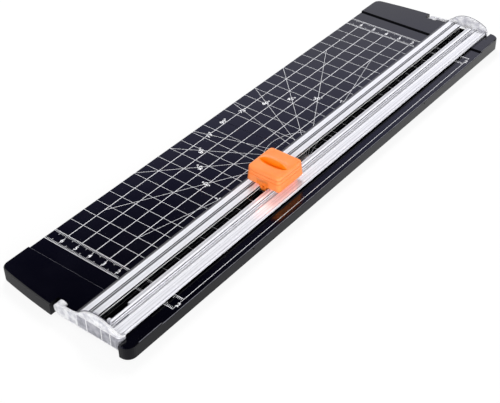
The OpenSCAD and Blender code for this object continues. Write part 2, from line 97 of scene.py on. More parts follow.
# Painted shade and highlights up the walls of the slot and of the right ridge, in millimetres over the
# deck
SLOT_WALL_SHADE_AND_HIGHLIGHT = ((0, 0.002), (2.2, 1.0), (2.95, 0.0), (3.95, 0.5))
RIDGE_WALL_SHADE_AND_HIGHLIGHT = ((2.3, 0.6), (2.5, 1.0), (3.4, 0.5), (3.62, 0.0))

# How much the base's top mirrors, in millimetres from the cut line: deck, strip beside the rail whose
# gloss is cut as painted shade, right margin, bevel whose gloss is cut as a painted dark reflection
TOP_GLOSS_AND_SHADE = ((-80, 1), (12, 0.02), (16.3, 1), (22.4, 0.02))

# Painted sheen: how much the base's walls mirror, as shares of the way from the near to the far end
WALL_PAINTED_SHEEN = ((0.1, (0.15, 0.15, 0.165)), (0.6, (0.5, 0.5, 0.56)), (0.95, (1.0, 1.0, 1.0)))

# Roughness of the base's walls at the near and the far end
NEAR_ROUGHNESS = 0.52
FAR_ROUGHNESS = 0.33

# Printed centimetre grid. X runs from the cut line and Y from the grid's far line.
ZERO_Y = 125 * MM
GRID = 10 * MM
GRID_ROWS = 25
GRID_LEFT = -69.7 * MM
GRID_RIGHT = 20 * MM
LONG_LINES = (-60, -50, -40, -30, -20)
FAR_INNER = 10.9 * MM
FAR_OUTER = 18.8 * MM
NEAR_INNER = -260.9 * MM
NEAR_OUTER = -269.4 * MM
PRINT_T = 0.03 * MM
PRINT_Z = DECK_Z + PRINT_T / 2
BOLD_W = 0.34 * MM
FINE_W = 0.2 * MM
RIGHT_LINE_W = 0.24 * MM
RULED_W = 0.26 * MM
TICK_W = 0.2 * MM
TICKS = range(-69, 21)
CENTIMETRE_TICK = 2.9 * MM
HALF_TICK = 2.3 * MM
MILLIMETRE_TICK = 1.4 * MM
CROSS_RIGHT = 4 * MM
DIGIT_SIZE = 3.9 * MM
DIGIT_RIGHT = 0.3 * MM
DIGIT_DOWN = 0.5 * MM
FONT_WEIGHT = 0.016

# Protractor: lines every 15 degrees, of which the flattest ones are short
FAN_Y = -130 * MM
FAN_STEP = 15
SHORT_REACH = {15: 30 * MM, 30: 60 * MM}
ARC_R = 25.5 * MM
ARC_STEPS = 36
LABEL_R = 61.5 * MM
LABEL_SIZE = 4.1 * MM

# Cutter head, from the frame
HEAD_LOW, HEAD_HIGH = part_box("cutter_head")
HEAD_X = (HEAD_LOW.x + HEAD_HIGH.x) / 2
HEAD_Y = (HEAD_LOW.y + HEAD_HIGH.y) / 2
FOOT_HALF = (HEAD_HIGH.x - HEAD_LOW.x) / 2
FIN_RISE = 2.8 * MM
ROOF_Z = HEAD_HIGH.z - FIN_RISE
DRAFT = 0.6 * MM
CORNER_R = 2.3 * MM
EDGE_R = 1.3 * MM
ROOF_CELLS = 76
FIN_HALF = 9.3 * MM
FIN_CURVE = 2.4
FIN_FRONT = -1.5 * MM
FIN_FACE = 0.1 * MM
FIN_TOP = 0.8 * MM
FIN_ROUND = 0.18
FIN_SLOPE = 2.6 * MM
DISH_DEPTH = 1.2 * MM
DISH_RUN = 2.7 * MM
WINDOW_HALF = 3.95 * MM
WINDOW_TOP = 2.55 * MM
SHELL_T = 0.6 * MM

# Two seams round the walls of the head: depth under the roof's edge and inset, in millimetres
SEAMS = ((0.8, 0), (0.95, 0.3), (1.25, 0.3), (1.4, 0), (2.9, 0), (3.05, 0.3), (3.35, 0.3), (3.5, 0))
FOOT_RISE = 0.5
FOOT_INSET = 0.35

# Clear end caps, in millimetres, x from the cut line. First the outline of the domes.
CROWN_X = 0.5
RIGHT_DOME_R = 24.5
LEFT_DOME_R = 16.5
CROWN_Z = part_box("near_end_cap")[1].z / MM
RIGHT_DOME_Z = CROWN_Z - RIGHT_DOME_R
LEFT_DOME_Z = CROWN_Z - LEFT_DOME_R
TURN_X = -10.71
SWEEP_X = -17.5
SWEEP_Z = 19.5
SWEEP_R = 10
LUG_X = -25.6
LUG_TOP = 9.0

# Plate of a cap: its face, its underside, the ledge at the rail's height, and its skirt
CAP_RIGHT = 16.2
CAP_CORNER = 2.6
CAP_FACE = 176.8
CAP_UNDER = 2.1
CAP_LEDGE = RAIL_HIGH.z / MM - 1.8
PLATE_T = 1.2
PLATE_FOOT = 8.6
SKIRT_T = 2.2
SKIRT_TOP = 8.0
CAP_CELLS = 70
DOME_ROWS = 5
MERGE = 0.002 * MM

# Lug round the hinge pin, and pegs that hold the rail
LUG_R = 3.4
LUG_Z = 5.6
LUG_IN = 172.8
LUG_CELLS = 10
PEG_X = 9.6
PEG_Y = 173.7
PEG_R = 0.8
PEG_TIP_R = 0.6
PEG_L = 1.6
PEG_DOWN = 0.3

# Rims and ribs painted white as highlights, and edges of the domes painted dark as shade
RIM_R = 0.26
RIM_IN = 0.1
RIM_DOWN = 0.15
RIM_CELLS = 48
FOOT_RIM = CAP_UNDER + 0.2
LEDGE_RIM = CAP_LEDGE + 0.2
DOME_FOOT = CAP_LEDGE + 1.5
CAP_RIBS = (-6.5, 3.4, 9.3)
EDGE_LEFT = -13
NEAR_EDGE_RIGHT = 9
FAR_EDGE_RIGHT = CAP_RIGHT - 2.5
EDGE_UP = 0.12
EDGE_CELLS = 36

# Ends and edges of the base
BASE_LOW, BASE_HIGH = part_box("base")
STEP_Y = 155.25 * MM
BLOCK_Y = 171.2 * MM
STEP_LEFT = BASE_LOW.x + 0.8 * MM
BEVEL_IN = 0.28 * MM
BEVEL_DOWN = 0.24 * MM
EDGE_BEAD_R = 0.2 * MM
STEP_BEAD_R = 0.13 * MM
STEP_BEAD_DOWN = 0.9 * STEP_BEAD_R

# Sky that the object mirrors, from the horizon to straight above
SKY = (
    (0.0, (1, 1, 1)), (0.42, (1, 1, 1)), (0.475, (0.88, 0.88, 1)), (0.51, (0.74, 0.74, 1)),
    (0.54, (0.55, 0.55, 0.82)), (0.565, (0.35, 0.35, 0.62)), (0.595, (0.17, 0.17, 0.36)),
    (0.615, (0.04, 0.04, 0.15)), (0.64, (0.004, 0.004, 0.04)), (0.8, (0, 0, 0.01)), (1.0, (0, 0, 0)))

# Even light on matte surfaces, and the share of the floor that shows plain white
FILL = 0.5
FLOOR_GLOW = 0.88

# Light through the head: its side, spread in degrees, direction, colour and power
GLOW_SIDE = 23 * MM
GLOW_SPREAD = 30
GLOW_WAY = Vector((0.55, -0.6, -0.85))
GLOW_COLOUR = (1.0, 0.22, 0.11)
GLOW_POWER = 0.0024


# Pieces

def spread(low, high, cells):
    """Evenly spaced values from low to high."""
    return [low + (high - low) * step / cells for step in range(cells + 1)]


def add_object(name, data):
    """A new object in the scene."""
    thing = bpy.data.objects.new(name, data)
    bpy.context.scene.collection.objects.link(thing)
    return thing


def mesh_object(bm, name, material):
    """Makes an object of a bmesh."""
    mesh = bpy.data.meshes.new(name)
    bm.to_mesh(mesh)
    bm.free()
    mesh.materials.append(material)
    return add_object(name, mesh)


def finish_piece(bm, name, body, material):
    """Makes a piece of a bmesh, and lets it ride on a body."""
    piece = mesh_object(bm, name, material)
    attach(piece, body)
    return piece


def add_line(bm, start, end, width):
    """Adds one printed line from start to end, given in the grid's X and Y."""
    a = Vector((CUT_X + start[0], ZERO_Y + start[1], PRINT_Z))
    b = Vector((CUT_X + end[0], ZERO_Y + end[1], PRINT_Z))
    run = b - a
    turn = Matrix.Rotation(math.atan2(run.y, run.x), 4, "Z")
    shape = Matrix.Diagonal((run.length, width, PRINT_T, 1))
    bmesh.ops.create_cube(bm, size=1, matrix=Matrix.Translation((a + b) / 2) @ turn @ shape)


def add_text(bm, text, x, y, size, turn):
    """Adds a printed word at the grid's X and Y, turned about Z."""
    font = bpy.data.curves.new("print", "FONT")
    font.body = text
    font.size = size
    font.align_x = "CENTER"
    font.align_y = "CENTER"
    font.extrude = PRINT_T / 2
    font.offset = FONT_WEIGHT * size
    place = Matrix.Translation((CUT_X + x, ZERO_Y + y, PRINT_Z))
    add_curve(bm, font, place @ Matrix.Rotation(turn, 4, "Z"))


def add_curve(bm, curve, place):
    """Adds a text or curve as a mesh, moved to its place, and deletes the curve."""
    holder = add_object("curve", curve)
    mesh = bpy.data.meshes.new_from_object(holder.evaluated_get(bpy.context.evaluated_depsgraph_get()))
    mesh.transform(place)
    bm.from_mesh(mesh)
    bpy.data.objects.remove(holder)
    bpy.data.curves.remove(curve)
    bpy.data.meshes.remove(mesh)


def add_bead(bm, points, radius):
    """Adds a round bead along a line of points."""
    curve = bpy.data.curves.new("bead", "CURVE")
    curve.dimensions = "3D"
    curve.bevel_depth = radius
    curve.bevel_resolution = 2
    curve.use_fill_caps = True
    line = curve.splines.new("POLY")
    line.points.add(len(points) - 1)
    for point, place in zip(line.points, points):
        point.co = (*place, 1)
    add_curve(bm, curve, Matrix.Identity(4))


def centimetre_grid(bm):
    """Bold lines along the deck, fine lines across it, and the line right of the rail."""
    for x in LONG_LINES:
        add_line(bm, (x * MM, NEAR_INNER), (x * MM, FAR_INNER), BOLD_W)
    add_line(bm, (GRID_RIGHT, NEAR_INNER), (GRID_RIGHT, FAR_INNER), RIGHT_LINE_W)
    for row in range(GRID_ROWS + 1):
        add_line(bm, (GRID_LEFT, -row * GRID), (CROSS_RIGHT, -row * GRID), FINE_W)


def ruler_strip(bm, inner, outer):
    """Two ruled lines with millimetre ticks that point into the strip, and the centimetres."""
    into = math.copysign(1, outer - inner)
    for edge, side in ((inner, into), (outer, -into)):
        add_line(bm, (GRID_LEFT, edge), (GRID_RIGHT, edge), RULED_W)
        for mm in TICKS:
            reach = CENTIMETRE_TICK if mm % 10 == 0 else HALF_TICK if mm % 5 == 0 else MILLIMETRE_TICK
            add_line(bm, (mm * MM, edge), (mm * MM, edge + side * reach), TICK_W)
    middle = (inner + outer) / 2 - DIGIT_DOWN
    for x in LONG_LINES:
        add_text(bm, str(-x // 10), x * MM + DIGIT_RIGHT, middle, DIGIT_SIZE, 0)
    add_text(bm, "2", GRID_RIGHT + DIGIT_RIGHT, middle, DIGIT_SIZE, 0)


def protractor(bm):
    """Angle lines that fan out from the cut line, with their degrees and an arc."""
    for degrees in range(FAN_STEP, 180, FAN_STEP):
        angle = math.radians(degrees)
        slope = min(degrees, 180 - degrees)
        reach_x = SHORT_REACH.get(slope, -GRID_LEFT)
        run = reach_x / math.sin(angle)
        end = (-run * math.sin(angle), FAN_Y + run * math.cos(angle))
        add_line(bm, (0, FAN_Y), end, FINE_W)
        label_at = (-LABEL_R * math.sin(angle), FAN_Y + LABEL_R * math.cos(angle))
        add_text(bm, str(slope) + "°", label_at[0], label_at[1], LABEL_SIZE, angle)
    arc = [(-ARC_R * math.sin(a), FAN_Y + ARC_R * math.cos(a)) for a in spread(0, math.pi, ARC_STEPS)]
    for start, end in zip(arc, arc[1:]):
        add_line(bm, start, end, FINE_W)


def clear_groove(bm):
    """Takes the print off the groove in the mat that the blade runs in."""
    for side in (-1, 1):
        bmesh.ops.bisect_plane(bm, geom=bm.verts[:] + bm.edges[:] + bm.faces[:], dist=1e-8,
                               plane_co=(CUT_X + side * GROOVE_HALF, 0, 0), plane_no=(1, 0, 0))
    over = [face for face in bm.faces if abs(face.calc_center_median().x - CUT_X) < GROOVE_HALF]
    bmesh.ops.delete(bm, geom=over, context="FACES")


def measuring_print(material):
    """All that is printed on the deck, as one thin piece."""
    bm = bmesh.new()
    centimetre_grid(bm)
    ruler_strip(bm, FAR_INNER, FAR_OUTER)
    ruler_strip(bm, NEAR_INNER, NEAR_OUTER)
    protractor(bm)
    clear_groove(bm)
    finish_piece(bm, "measuring_print", "base", material)


def roof_point(u, v):
    """Place on the head's roof of a point of the square from -1 to 1."""
    half = FOOT_HALF - DRAFT
    inner = half - CORNER_R
    x, y = u * half, v * half
    over_x = max(abs(x) - inner, 0)
    over_y = max(abs(y) - inner, 0)
    if over_x > 0 and over_y > 0:
        squeeze = max(over_x, over_y) / math.hypot(over_x, over_y)
        x = math.copysign(inner + over_x * squeeze, x)
        y = math.copysign(inner + over_y * squeeze, y)
    to_edge = CORNER_R - max(over_x, over_y)
    z = ROOF_Z + thumb_form(x, y)
    if to_edge < EDGE_R:
        z -= EDGE_R - math.sqrt(EDGE_R ** 2 - (EDGE_R - to_edge) ** 2)
    return Vector((x, y, z))


def thumb_form(x, y):
    """Height over the roof: a dish in front of a curved fin with a long back slope."""
    arch = max(0.0, 1 - abs(x / FIN_HALF) ** FIN_CURVE)
    if arch == 0:
        return 0.0
    if y < FIN_FRONT:
        share = (FIN_FRONT - y) / (DISH_RUN * math.sqrt(arch))
        return -DISH_DEPTH * arch * max(0.0, 1 - share ** 2)
    behind = max(0.0, y - FIN_FRONT - FIN_TOP)
    round_off = max(0.0, FIN_FRONT + FIN_TOP / 2 - y) / (FIN_TOP / 2)
    return FIN_RISE * arch * math.exp(-(behind / FIN_SLOPE) ** 2) * (1 - FIN_ROUND * round_off ** 2)


def thumb_share(x, y):
    """1 in the dish and on the fin's steep front, where shade is painted, 0 on the rest of the roof."""
    arch = 1 - abs(x / FIN_HALF) ** FIN_CURVE
    if arch < 0.02:
        return 0.0
    return 1.0 if FIN_FRONT - DISH_RUN * math.sqrt(arch) < y < FIN_FRONT + FIN_FACE else 0.0


def head_shell(material):
    """Press-down shell: a roof with thumb fin and dish, walls with two seams, and windows."""
    bm = bmesh.new()
    bmesh.ops.create_grid(bm, x_segments=ROOF_CELLS, y_segments=ROOF_CELLS, size=1)
    thumb = bm.verts.layers.float.new("thumb")
    for vert in bm.verts:
        vert.co = roof_point(vert.co.x, vert.co.y)
        vert[thumb] = thumb_share(vert.co.x, vert.co.y)
    top = ROOF_Z - EDGE_R
    height = top - HEAD_LOW.z
    foot = ((height / MM - FOOT_RISE, 0), (height / MM, FOOT_INSET))
    rim = [edge for edge in bm.edges if edge.is_boundary]
    last = FOOT_HALF - DRAFT
    for drop, inset in SEAMS + foot:
        half = FOOT_HALF - DRAFT + DRAFT * drop * MM / height - inset * MM
        grown = bmesh.ops.extrude_edge_only(bm, edges=rim)["geom"]
        for vert in (g for g in grown if isinstance(g, bmesh.types.BMVert)):
            vert.co = (vert.co.x * half / last, vert.co.y * half / last, top - drop * MM)
        rim = [g for g in grown if isinstance(g, bmesh.types.BMEdge)]
        last = half
    cut_windows(bm)
    bmesh.ops.recalc_face_normals(bm, faces=bm.faces)
    bmesh.ops.translate(bm, verts=bm.verts, vec=(HEAD_X, HEAD_Y, 0))
    shell = finish_piece(bm, "head_shell", "head", material)
    smooth(shell, 40)
    wall = shell.modifiers.new("wall", "SOLIDIFY")
    wall.thickness = SHELL_T
    wall.offset = -1
    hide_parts("cutter_head")


def cut_windows(bm):
    """Opens the head's near and far walls where the blade holder's tongue shows."""
    for place, way in (((-WINDOW_HALF, 0, 0), (1, 0, 0)), ((WINDOW_HALF, 0, 0), (1, 0, 0)),
                       ((0, 0, HEAD_LOW.z + WINDOW_TOP), (0, 0, 1))):
        bmesh.ops.bisect_plane(bm, geom=bm.verts[:] + bm.edges[:] + bm.faces[:], dist=1e-7,
                               plane_co=place, plane_no=way)
    window = [face for face in bm.faces
              if abs(face.calc_center_median().x) < WINDOW_HALF
              and face.calc_center_median().z < HEAD_LOW.z + WINDOW_TOP]
    bmesh.ops.delete(bm, geom=window, context="FACES")


def smooth(piece, degrees):
    """Smooth shading that keeps the edges sharper than an angle."""
    for face in piece.data.polygons:
        face.use_smooth = True
    piece.data.set_sharp_from_angle(angle=math.radians(degrees))


def cap_top(x):
    """Height of a cap's domed outline over the table, x from the cut line, in millimetres."""
    if x > CROWN_X:
        return RIGHT_DOME_Z + math.sqrt(RIGHT_DOME_R ** 2 - (x - CROWN_X) ** 2)
    if x > TURN_X:
        return LEFT_DOME_Z + math.sqrt(LEFT_DOME_R ** 2 - (x - CROWN_X) ** 2)
    if x > SWEEP_X:
        return SWEEP_Z - math.sqrt(SWEEP_R ** 2 - (x - SWEEP_X) ** 2)
    return LUG_TOP + (SWEEP_Z - SWEEP_R - LUG_TOP) * (x - LUG_X) / (SWEEP_X - LUG_X)


def cap_face_y(x):
    """Distance of a cap's face from the middle, with the rounded free corner, in millimetres."""
    over = max(0.0, x - CAP_RIGHT + CAP_CORNER)
    return CAP_FACE - CAP_CORNER + math.sqrt(CAP_CORNER ** 2 - over ** 2)


def cap_point(side, x, y, z):
    """Place in metres of a cap's point, given in millimetres from the cut line and the middle."""
    return (CUT_X + x * MM, side * y * MM, z * MM)


def cap_column(x):
    """Heights of a cap's plate at x, from its underside over the skirt and the ledge to the dome."""
    if x < LUG_X:
        rise = math.sqrt(max(0.0, LUG_R ** 2 - (x - LUG_X) ** 2))
        low, top = LUG_Z - rise, LUG_Z + rise
    else:
        low, top = CAP_UNDER, cap_top(x)
    ledge = min(top, CAP_LEDGE)
    return [low, min(top, SKIRT_TOP), min(top, PLATE_FOOT)] + spread(ledge, top, DOME_ROWS)


def cap_plate(bm, side):
    """Domed end plate with a thicker skirt, bent out of a flat grid."""
    lug = [LUG_X - LUG_R * math.cos(math.pi / 2 * step / LUG_CELLS) for step in range(LUG_CELLS)]
    columns = lug + spread(LUG_X, CAP_RIGHT, CAP_CELLS)
    rows = len(cap_column(0))
    grid = bmesh.ops.create_grid(bm, x_segments=len(columns) - 1, y_segments=rows - 1, size=1)["verts"]
    places = {}
    for vert in grid:
        column = round((vert.co.x + 1) / 2 * (len(columns) - 1))
        row = round((vert.co.y + 1) / 2 * (rows - 1))
        places[vert] = (columns[column], row)
    for vert, (x, row) in places.items():
        vert.co = cap_point(side, x, cap_face_y(x), cap_column(x)[row])
    shell = bmesh.ops.solidify(bm, geom=bm.faces[:], thickness=0)["geom"]
    for vert in (g for g in shell if isinstance(g, bmesh.types.BMVert)):
        if vert in places:
            continue
        low = vert.co.z < (SKIRT_TOP + PLATE_FOOT) / 2 * MM
        vert.co.y -= side * (SKIRT_T if low else PLATE_T) * MM
    bmesh.ops.remove_doubles(bm, verts=bm.verts[:], dist=MERGE)
    bmesh.ops.dissolve_degenerate(bm, edges=bm.edges[:], dist=MERGE)


def end_cap(name, side, material, node):
    """Clear cap: the end plate, the lug round the hinge pin and the pegs for the rail."""
    bm = bmesh.new()
    cap_plate(bm, side)
    depth = CAP_FACE - SKIRT_T / 2 - LUG_IN
    turn = Matrix.Rotation(math.radians(90), 4, "X")
    hub = Matrix.Translation(cap_point(side, LUG_X, LUG_IN + depth / 2, LUG_Z)) @ turn
    bmesh.ops.create_cone(bm, cap_ends=True, segments=40, radius1=LUG_R * MM, radius2=LUG_R * MM,
                          depth=depth * MM, matrix=hub)
    for x in (-PEG_X, PEG_X):
        peg = Matrix.Translation(cap_point(side, x, PEG_Y, CAP_LEDGE - PEG_DOWN))
        bmesh.ops.create_cone(bm, cap_ends=True, segments=20, radius1=PEG_R * MM, radius2=PEG_TIP_R * MM,
                              depth=PEG_L * MM, matrix=peg)
    bmesh.ops.recalc_face_normals(bm, faces=bm.faces)
    piece = finish_piece(bm, name, "rail", material)
    smooth(piece, 35)
    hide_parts(node)


def cap_rims(name, side, material):
    """Rims and upright ribs of a clear end cap, white beads that are their painted highlights."""
    bm = bmesh.new()
    across = spread(LUG_X, CAP_RIGHT, RIM_CELLS)
    rim = [cap_point(side, x, cap_face_y(x) - RIM_IN, cap_top(x) - RIM_DOWN) for x in across]
    add_bead(bm, rim, RIM_R * MM)
    ledge = [cap_point(side, x, cap_face_y(x), LEDGE_RIM) for x in across if cap_top(x) > DOME_FOOT]
    add_bead(bm, ledge, RIM_R * 0.8 * MM)
    foot = [cap_point(side, x, cap_face_y(x), FOOT_RIM) for x in across]
    add_bead(bm, foot, RIM_R * 0.7 * MM)
    for x in CAP_RIBS:
        low = cap_point(side, x, CAP_FACE - RIM_IN, FOOT_RIM)
        high = cap_point(side, x, CAP_FACE - RIM_IN, CAP_LEDGE)
        add_bead(bm, [low, high], RIM_R * MM)
    bmesh.ops.recalc_face_normals(bm, faces=bm.faces)
    smooth(finish_piece(bm, name, "rail", material), 60)


def cap_edges(material):
    """Edges of the caps' domes where the clear plastic shows dark, as beads of painted shade."""
    bm = bmesh.new()
    for side, y, right in ((-1, CAP_FACE - PLATE_T, NEAR_EDGE_RIGHT), (1, CAP_FACE, FAR_EDGE_RIGHT)):
        across = spread(EDGE_LEFT, right, EDGE_CELLS)
        add_bead(bm, [cap_point(side, x, y, cap_top(x) + EDGE_UP) for x in across], RIM_R * 0.8 * MM)
    smooth(finish_piece(bm, "cap_edges", "rail", material), 60)


def rail_end_grooves(material):
    """Short dark grooves beside the right ridge at the rail's ends, shown as thin dark slabs: painted
    shade.
    """
    bm = bmesh.new()
    for low, high in END_GROOVES:
        middle = (CUT_X + END_GROOVE_X, (low + high) / 2 * MM, FLANGE_TOP)
        shape = Matrix.Diagonal((END_GROOVE_W, (high - low) * MM, END_GROOVE_T, 1))
        bmesh.ops.create_cube(bm, size=1, matrix=Matrix.Translation(middle) @ shape)
    bmesh.ops.bevel(bm, geom=bm.edges[:], offset=0.01 * MM, affect="EDGES", segments=1, profile=0.5,
                    material=-1)
    finish_piece(bm, "rail_end_grooves", "rail", material)


def worn_edges(material):
    """Rounded arrises in light grey, a painted highlight: the near step as far as the rail, and the
    right edge.
    """
    bm = bmesh.new()
    step_z = BASE_HIGH.z - STEP_BEAD_DOWN
    add_bead(bm, [(STEP_LEFT, -STEP_Y, step_z), (RAIL_LOW.x, -STEP_Y, step_z)], STEP_BEAD_R)
    x = BASE_HIGH.x - BEVEL_IN
    deck_z = DECK_Z - BEVEL_DOWN
    block_z = BASE_HIGH.z - BEVEL_DOWN
    add_bead(bm, [(x, -STEP_Y, deck_z), (x, STEP_Y, deck_z)], EDGE_BEAD_R)
    for side in (-1, 1):
        add_bead(bm, [(x, side * STEP_Y, block_z), (x, side * BLOCK_Y, block_z)], EDGE_BEAD_R)
    smooth(finish_piece(bm, "worn_edges", "base", material), 60)


# Materials

def new_material(name):
    """A material with its node tree, its shader and its Object coordinates."""
    material = bpy.data.materials.new(name)
    material.use_nodes = True
    tree = material.node_tree
    shader = tree.nodes["Principled BSDF"]
    place = tree.nodes.new("ShaderNodeTexCoord")
    return material, tree, shader, place.outputs["Object"]


def feed(tree, socket, value):
    """Links an output to an input, or sets the input to a plain value."""
    if isinstance(value, bpy.types.NodeSocket):
        tree.links.new(value, socket)
    else:
        socket.default_value = value


def add_math(tree, operation, *values):
    """Result of one operation on outputs and plain numbers."""
    node = tree.nodes.new("ShaderNodeMath")
    node.operation = operation
    for socket, value in zip(node.inputs, values):
        feed(tree, socket, value)
    return node.outputs[0]


def add_map(tree, value, start, end, low, high):
    """Maps the stretch from start to end onto low to high, and holds the ends."""
    node = tree.nodes.new("ShaderNodeMapRange")
    names = ("Value", "From Min", "From Max", "To Min", "To Max")
    for name, setting in zip(names, (value, start, end, low, high)):
        feed(tree, node.inputs[name], setting)
    return node.outputs["Result"]


def add_split(tree, vector):
    """X, Y and Z of a vector."""
    node = tree.nodes.new("ShaderNodeSeparateXYZ")
    tree.links.new(vector, node.inputs["Vector"])
    return node.outputs


def drawn_out(tree, place, share):
    """Place with its Y scaled down, so that noise on it runs in lines along the object."""
    node = tree.nodes.new("ShaderNodeMapping")
    node.inputs["Scale"].default_value = (1, share, 1)
    tree.links.new(place, node.inputs["Vector"])
    return node.outputs["Vector"]


def add_noise(tree, place, scale, detail):
    """Noise with so many cells per metre."""
    noise = tree.nodes.new("ShaderNodeTexNoise")
    noise.inputs["Scale"].default_value = scale
    noise.inputs["Detail"].default_value = detail
    noise.inputs["Roughness"].default_value = 0.55
    tree.links.new(place, noise.inputs["Vector"])
    return noise.outputs["Fac"]


def add_range(tree, value, low, high):
    """Maps the middle of a noise to a range of values."""
    return add_map(tree, value, 0.3, 0.7, low, high)


def add_ramp(tree, value, stops, interpolation="LINEAR"):
    """A colour ramp of (position, colour) stops."""
    ramp = tree.nodes.new("ShaderNodeValToRGB")
    ramp.color_ramp.interpolation = interpolation
    elements = ramp.color_ramp.elements
    elements.remove(elements[1])
    for index, (position, colour) in enumerate(stops):
        stop = elements[0] if index == 0 else elements.new(position)
        stop.position = position
        stop.color = (*colour, 1)
    tree.links.new(value, ramp.inputs["Fac"])
    return ramp.outputs["Color"]


def stripes(tree, along, start, shades):
    """Crisp stripes in bluish white: each begins so many millimetres from start, with its shade."""
    first, last = shades[0][0], shades[-1][0]
    share = add_map(tree, along, start + first * MM, start + last * MM, 0, 1)
    stops = [((mm - first) / (last - first), (v, v, min(1.0, v * 1.06))) for mm, v in shades]
    return add_ramp(tree, share, stops, "CONSTANT")


def between(tree, value, limits):
    """1 where a value lies between two limits, else 0."""
    over = add_math(tree, "GREATER_THAN", value, limits[0])
    under = add_math(tree, "LESS_THAN", value, limits[1])
    return add_math(tree, "MULTIPLY", over, under)


def mix_colours(tree, share, first, second):
    """The first colour at share 0 and the second at share 1."""
    mix = tree.nodes.new("ShaderNodeMix")
    mix.data_type = "RGBA"
    for socket, value in (("Factor", share), ("A", first), ("B", second)):
        feed(tree, mix.inputs[socket], value)
    return mix.outputs["Result"]


def add_bump(tree, height, shader, strength, distance):
    """Fine relief in a material's surface."""
    bump = tree.nodes.new("ShaderNodeBump")
    bump.inputs["Strength"].default_value = strength
    bump.inputs["Distance"].default_value = distance
    tree.links.new(height, bump.inputs["Height"])
    tree.links.new(bump.outputs["Normal"], shader.inputs["Normal"])


def black_plastic():
    """Satin black moulding with a faint grain, cloudy variation in its gloss, and painted sheen and
    shade.
    """
    material, tree, shader, place = new_material("black_moulding")
    grain = add_noise(tree, place, 2600, 2)
    clouds = add_noise(tree, place, 28, 3)
    colour = add_ramp(tree, clouds, ((0.3, (0.0006, 0.0006, 0.0012)), (0.7, (0.0014, 0.0013, 0.0026))))
    tree.links.new(colour, shader.inputs["Base Color"])
    up = add_split(tree, tree.nodes.new("ShaderNodeNewGeometry").outputs["Normal"])["Z"]
    split = add_split(tree, place)
    along = add_map(tree, split["Y"], BASE_LOW.y, BASE_HIGH.y, 0, 1)
    change = FAR_ROUGHNESS - NEAR_ROUGHNESS
    wall_roughness = add_math(tree, "MULTIPLY_ADD", along, change, NEAR_ROUGHNESS)
    wall = add_map(tree, up, 0.3, 0.7, wall_roughness, 0)
    gloss = add_math(tree, "MAXIMUM", add_range(tree, clouds, 0.11, 0.16), wall)
    tree.links.new(gloss, shader.inputs["Roughness"])
    # The specular tint paints sheen on the walls, more towards the far end, and shade on the top
    walls = add_ramp(tree, along, WALL_PAINTED_SHEEN)
    tops = stripes(tree, split["X"], CUT_X, TOP_GLOSS_AND_SHADE)
    on_top = add_math(tree, "GREATER_THAN", up, 0.5)
    tree.links.new(mix_colours(tree, on_top, walls, tops), shader.inputs["Specular Tint"])
    shader.inputs["IOR"].default_value = 1.5
    add_bump(tree, grain, shader, 0.06, 0.05 * MM)
    return material


def worn_plastic():
    """Black moulding in light grey, a painted highlight for its edges."""
    material, tree, shader, place = new_material("black_painted_highlight")
    highlight_spots = add_noise(tree, place, 120, 3)
    tree.links.new(add_ramp(tree, highlight_spots, ((0.3, (0.07, 0.07, 0.08)), (0.7, (0.16, 0.16, 0.19)))),
                   shader.inputs["Base Color"])
    shader.inputs["Roughness"].default_value = 0.4
    return material


def dark_edge():
    """Deep grey, painted shade where clear plastic is seen edge-on and in small grooves."""
    material, tree, shader, place = new_material("painted_dark_edges")
    waves = add_noise(tree, place, 300, 2)
    tree.links.new(add_ramp(tree, waves, ((0.3, (0.08, 0.08, 0.1)), (0.7, (0.16, 0.16, 0.19)))),
                   shader.inputs["Base Color"])
    shader.inputs["Roughness"].default_value = 0.2
    return material


def mat_plastic():
    """Matte dark strip with fine scratches along its length."""
    material, tree, shader, place = new_material("cutting_strip")
    scratches = add_noise(tree, drawn_out(tree, place, 0.03), 4000, 3)
    shades = add_ramp(tree, scratches, ((0.35, (0.001, 0.001, 0.0015)), (0.7, (0.005, 0.005, 0.006))))
    tree.links.new(shades, shader.inputs["Base Color"])
    shader.inputs["Roughness"].default_value = 0.6
    shader.inputs["Specular IOR Level"].default_value = 0.1
    add_bump(tree, scratches, shader, 0.2, 0.05 * MM)
    return material


def printed_ink():
    """Screen print, a little uneven."""
    material, tree, shader, place = new_material("white_ink")
    spots = add_noise(tree, place, 900, 3)
    tree.links.new(add_ramp(tree, spots, ((0.35, (0.72, 0.72, 0.76)), (0.6, (0.98, 0.98, 1.0)))),
                   shader.inputs["Base Color"])
    shader.inputs["Roughness"].default_value = 0.5
    return material


